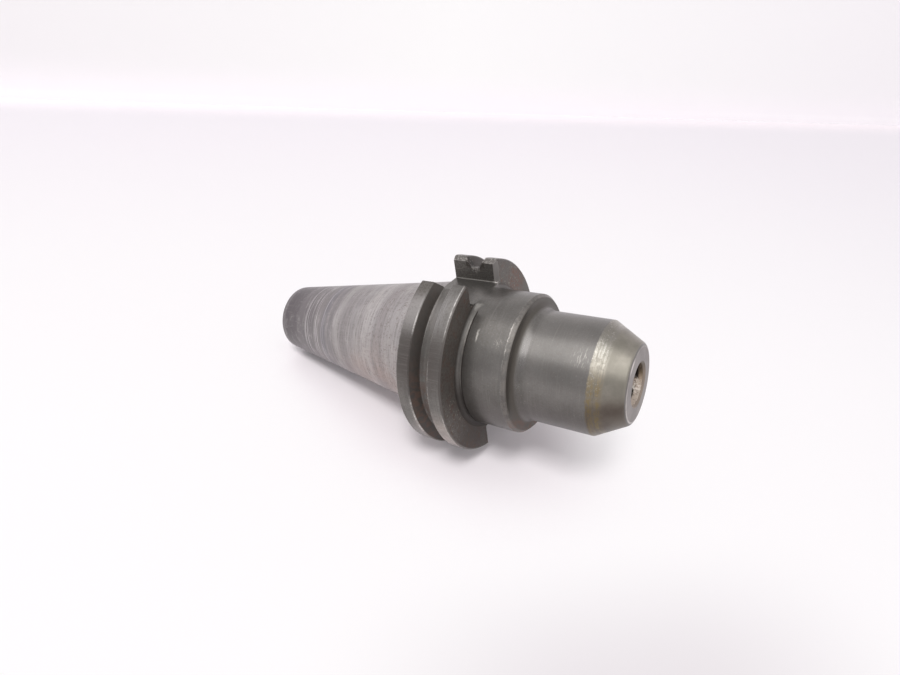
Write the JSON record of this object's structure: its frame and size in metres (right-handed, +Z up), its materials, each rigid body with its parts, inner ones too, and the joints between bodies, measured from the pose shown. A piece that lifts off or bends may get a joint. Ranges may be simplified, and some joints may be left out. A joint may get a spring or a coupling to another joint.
{
  "type": "end mill holder",
  "caption": "Steep-taper V-flange end mill holder with drive slots, collar, stepped nose and side clamping screw, lying on a bench.",
  "frame": {"origin": "on the tool axis at the gauge line, where the taper is 44.45 mm across", "axes": "+Z up, with the holder lying as it rests on a level floor; the tool axis is in the XZ plane and rises towards +X at the nose; the clamping screw points along +Y"},
  "size_m": [0.1366, 0.0636, 0.0624],
  "materials": {
    "holder_steel": "worn black oxide on the flange, collar and nose, with a bare ground taper",
    "screw_steel": "black oxide"
  },
  "bodies": {
    "holder": {"holder_body": "holder_steel"},
    "clamp_screw": {"side_lock_screw": "screw_steel"}
  },
  "joints": [
    {"name": "screw_travel", "type": "slide", "parent": "holder", "child": "clamp_screw", "axis": [0, 1, 0], "range_m": [-0.00207, 0.008]}
  ]
}
